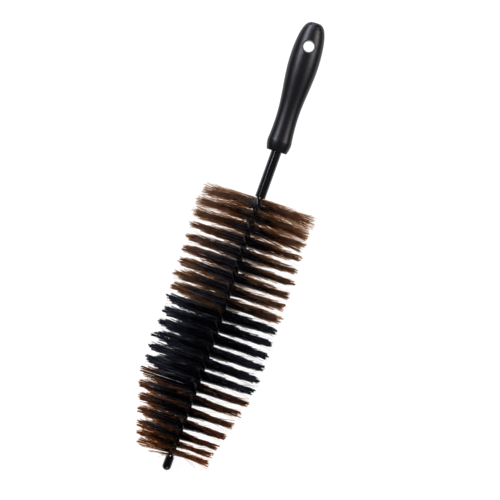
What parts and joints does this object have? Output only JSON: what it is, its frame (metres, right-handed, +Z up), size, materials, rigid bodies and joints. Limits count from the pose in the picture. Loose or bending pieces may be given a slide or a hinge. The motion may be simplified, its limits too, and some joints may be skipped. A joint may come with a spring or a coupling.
{
  "type": "wheel rim brush",
  "caption": "Barrel-shaped wheel rim brush: bristles pinched in a twisted wire with a sleeved stem, capped tip and oval grip with a hang hole.",
  "frame": {"origin": "on the surface the brush lies on, under the middle of its length and width", "axes": "+X along the wire from the tip towards the grip; +Z up, through the hang hole; the brush lies on its bristles"},
  "size_m": [0.4502, 0.1085, 0.1077],
  "materials": {
    "grip_plastic": "satin",
    "sleeve_plastic": "gloss",
    "coated_wire": "gloss",
    "cap_vinyl": "gloss",
    "brown_bristle": "matte",
    "black_bristle": "matte",
    "tan_bristle": "matte"
  },
  "bodies": {
    "root": {"grip": "grip_plastic", "stem_sleeve": "sleeve_plastic", "core_wire": "coated_wire", "tip_cap": "cap_vinyl", "bristle_row_01": "brown_bristle", "bristle_row_02": "brown_bristle", "bristle_row_03": "brown_bristle", "bristle_row_04": "brown_bristle", "bristle_row_05": "brown_bristle", "bristle_row_06": "brown_bristle", "bristle_row_07": "brown_bristle", "bristle_row_08": "brown_bristle", "bristle_row_09": "brown_bristle", "bristle_row_10": "black_bristle", "bristle_row_11": "black_bristle", "bristle_row_12": "black_bristle", "bristle_row_13": "black_bristle", "bristle_row_14": "black_bristle", "bristle_row_15": "black_bristle", "bristle_row_16": "tan_bristle", "bristle_row_17": "tan_bristle", "bristle_row_18": "tan_bristle", "bristle_row_19": "tan_bristle", "bristle_row_20": "tan_bristle", "bristle_row_21": "tan_bristle", "bristle_row_22": "tan_bristle"}
  },
  "joints": []
}
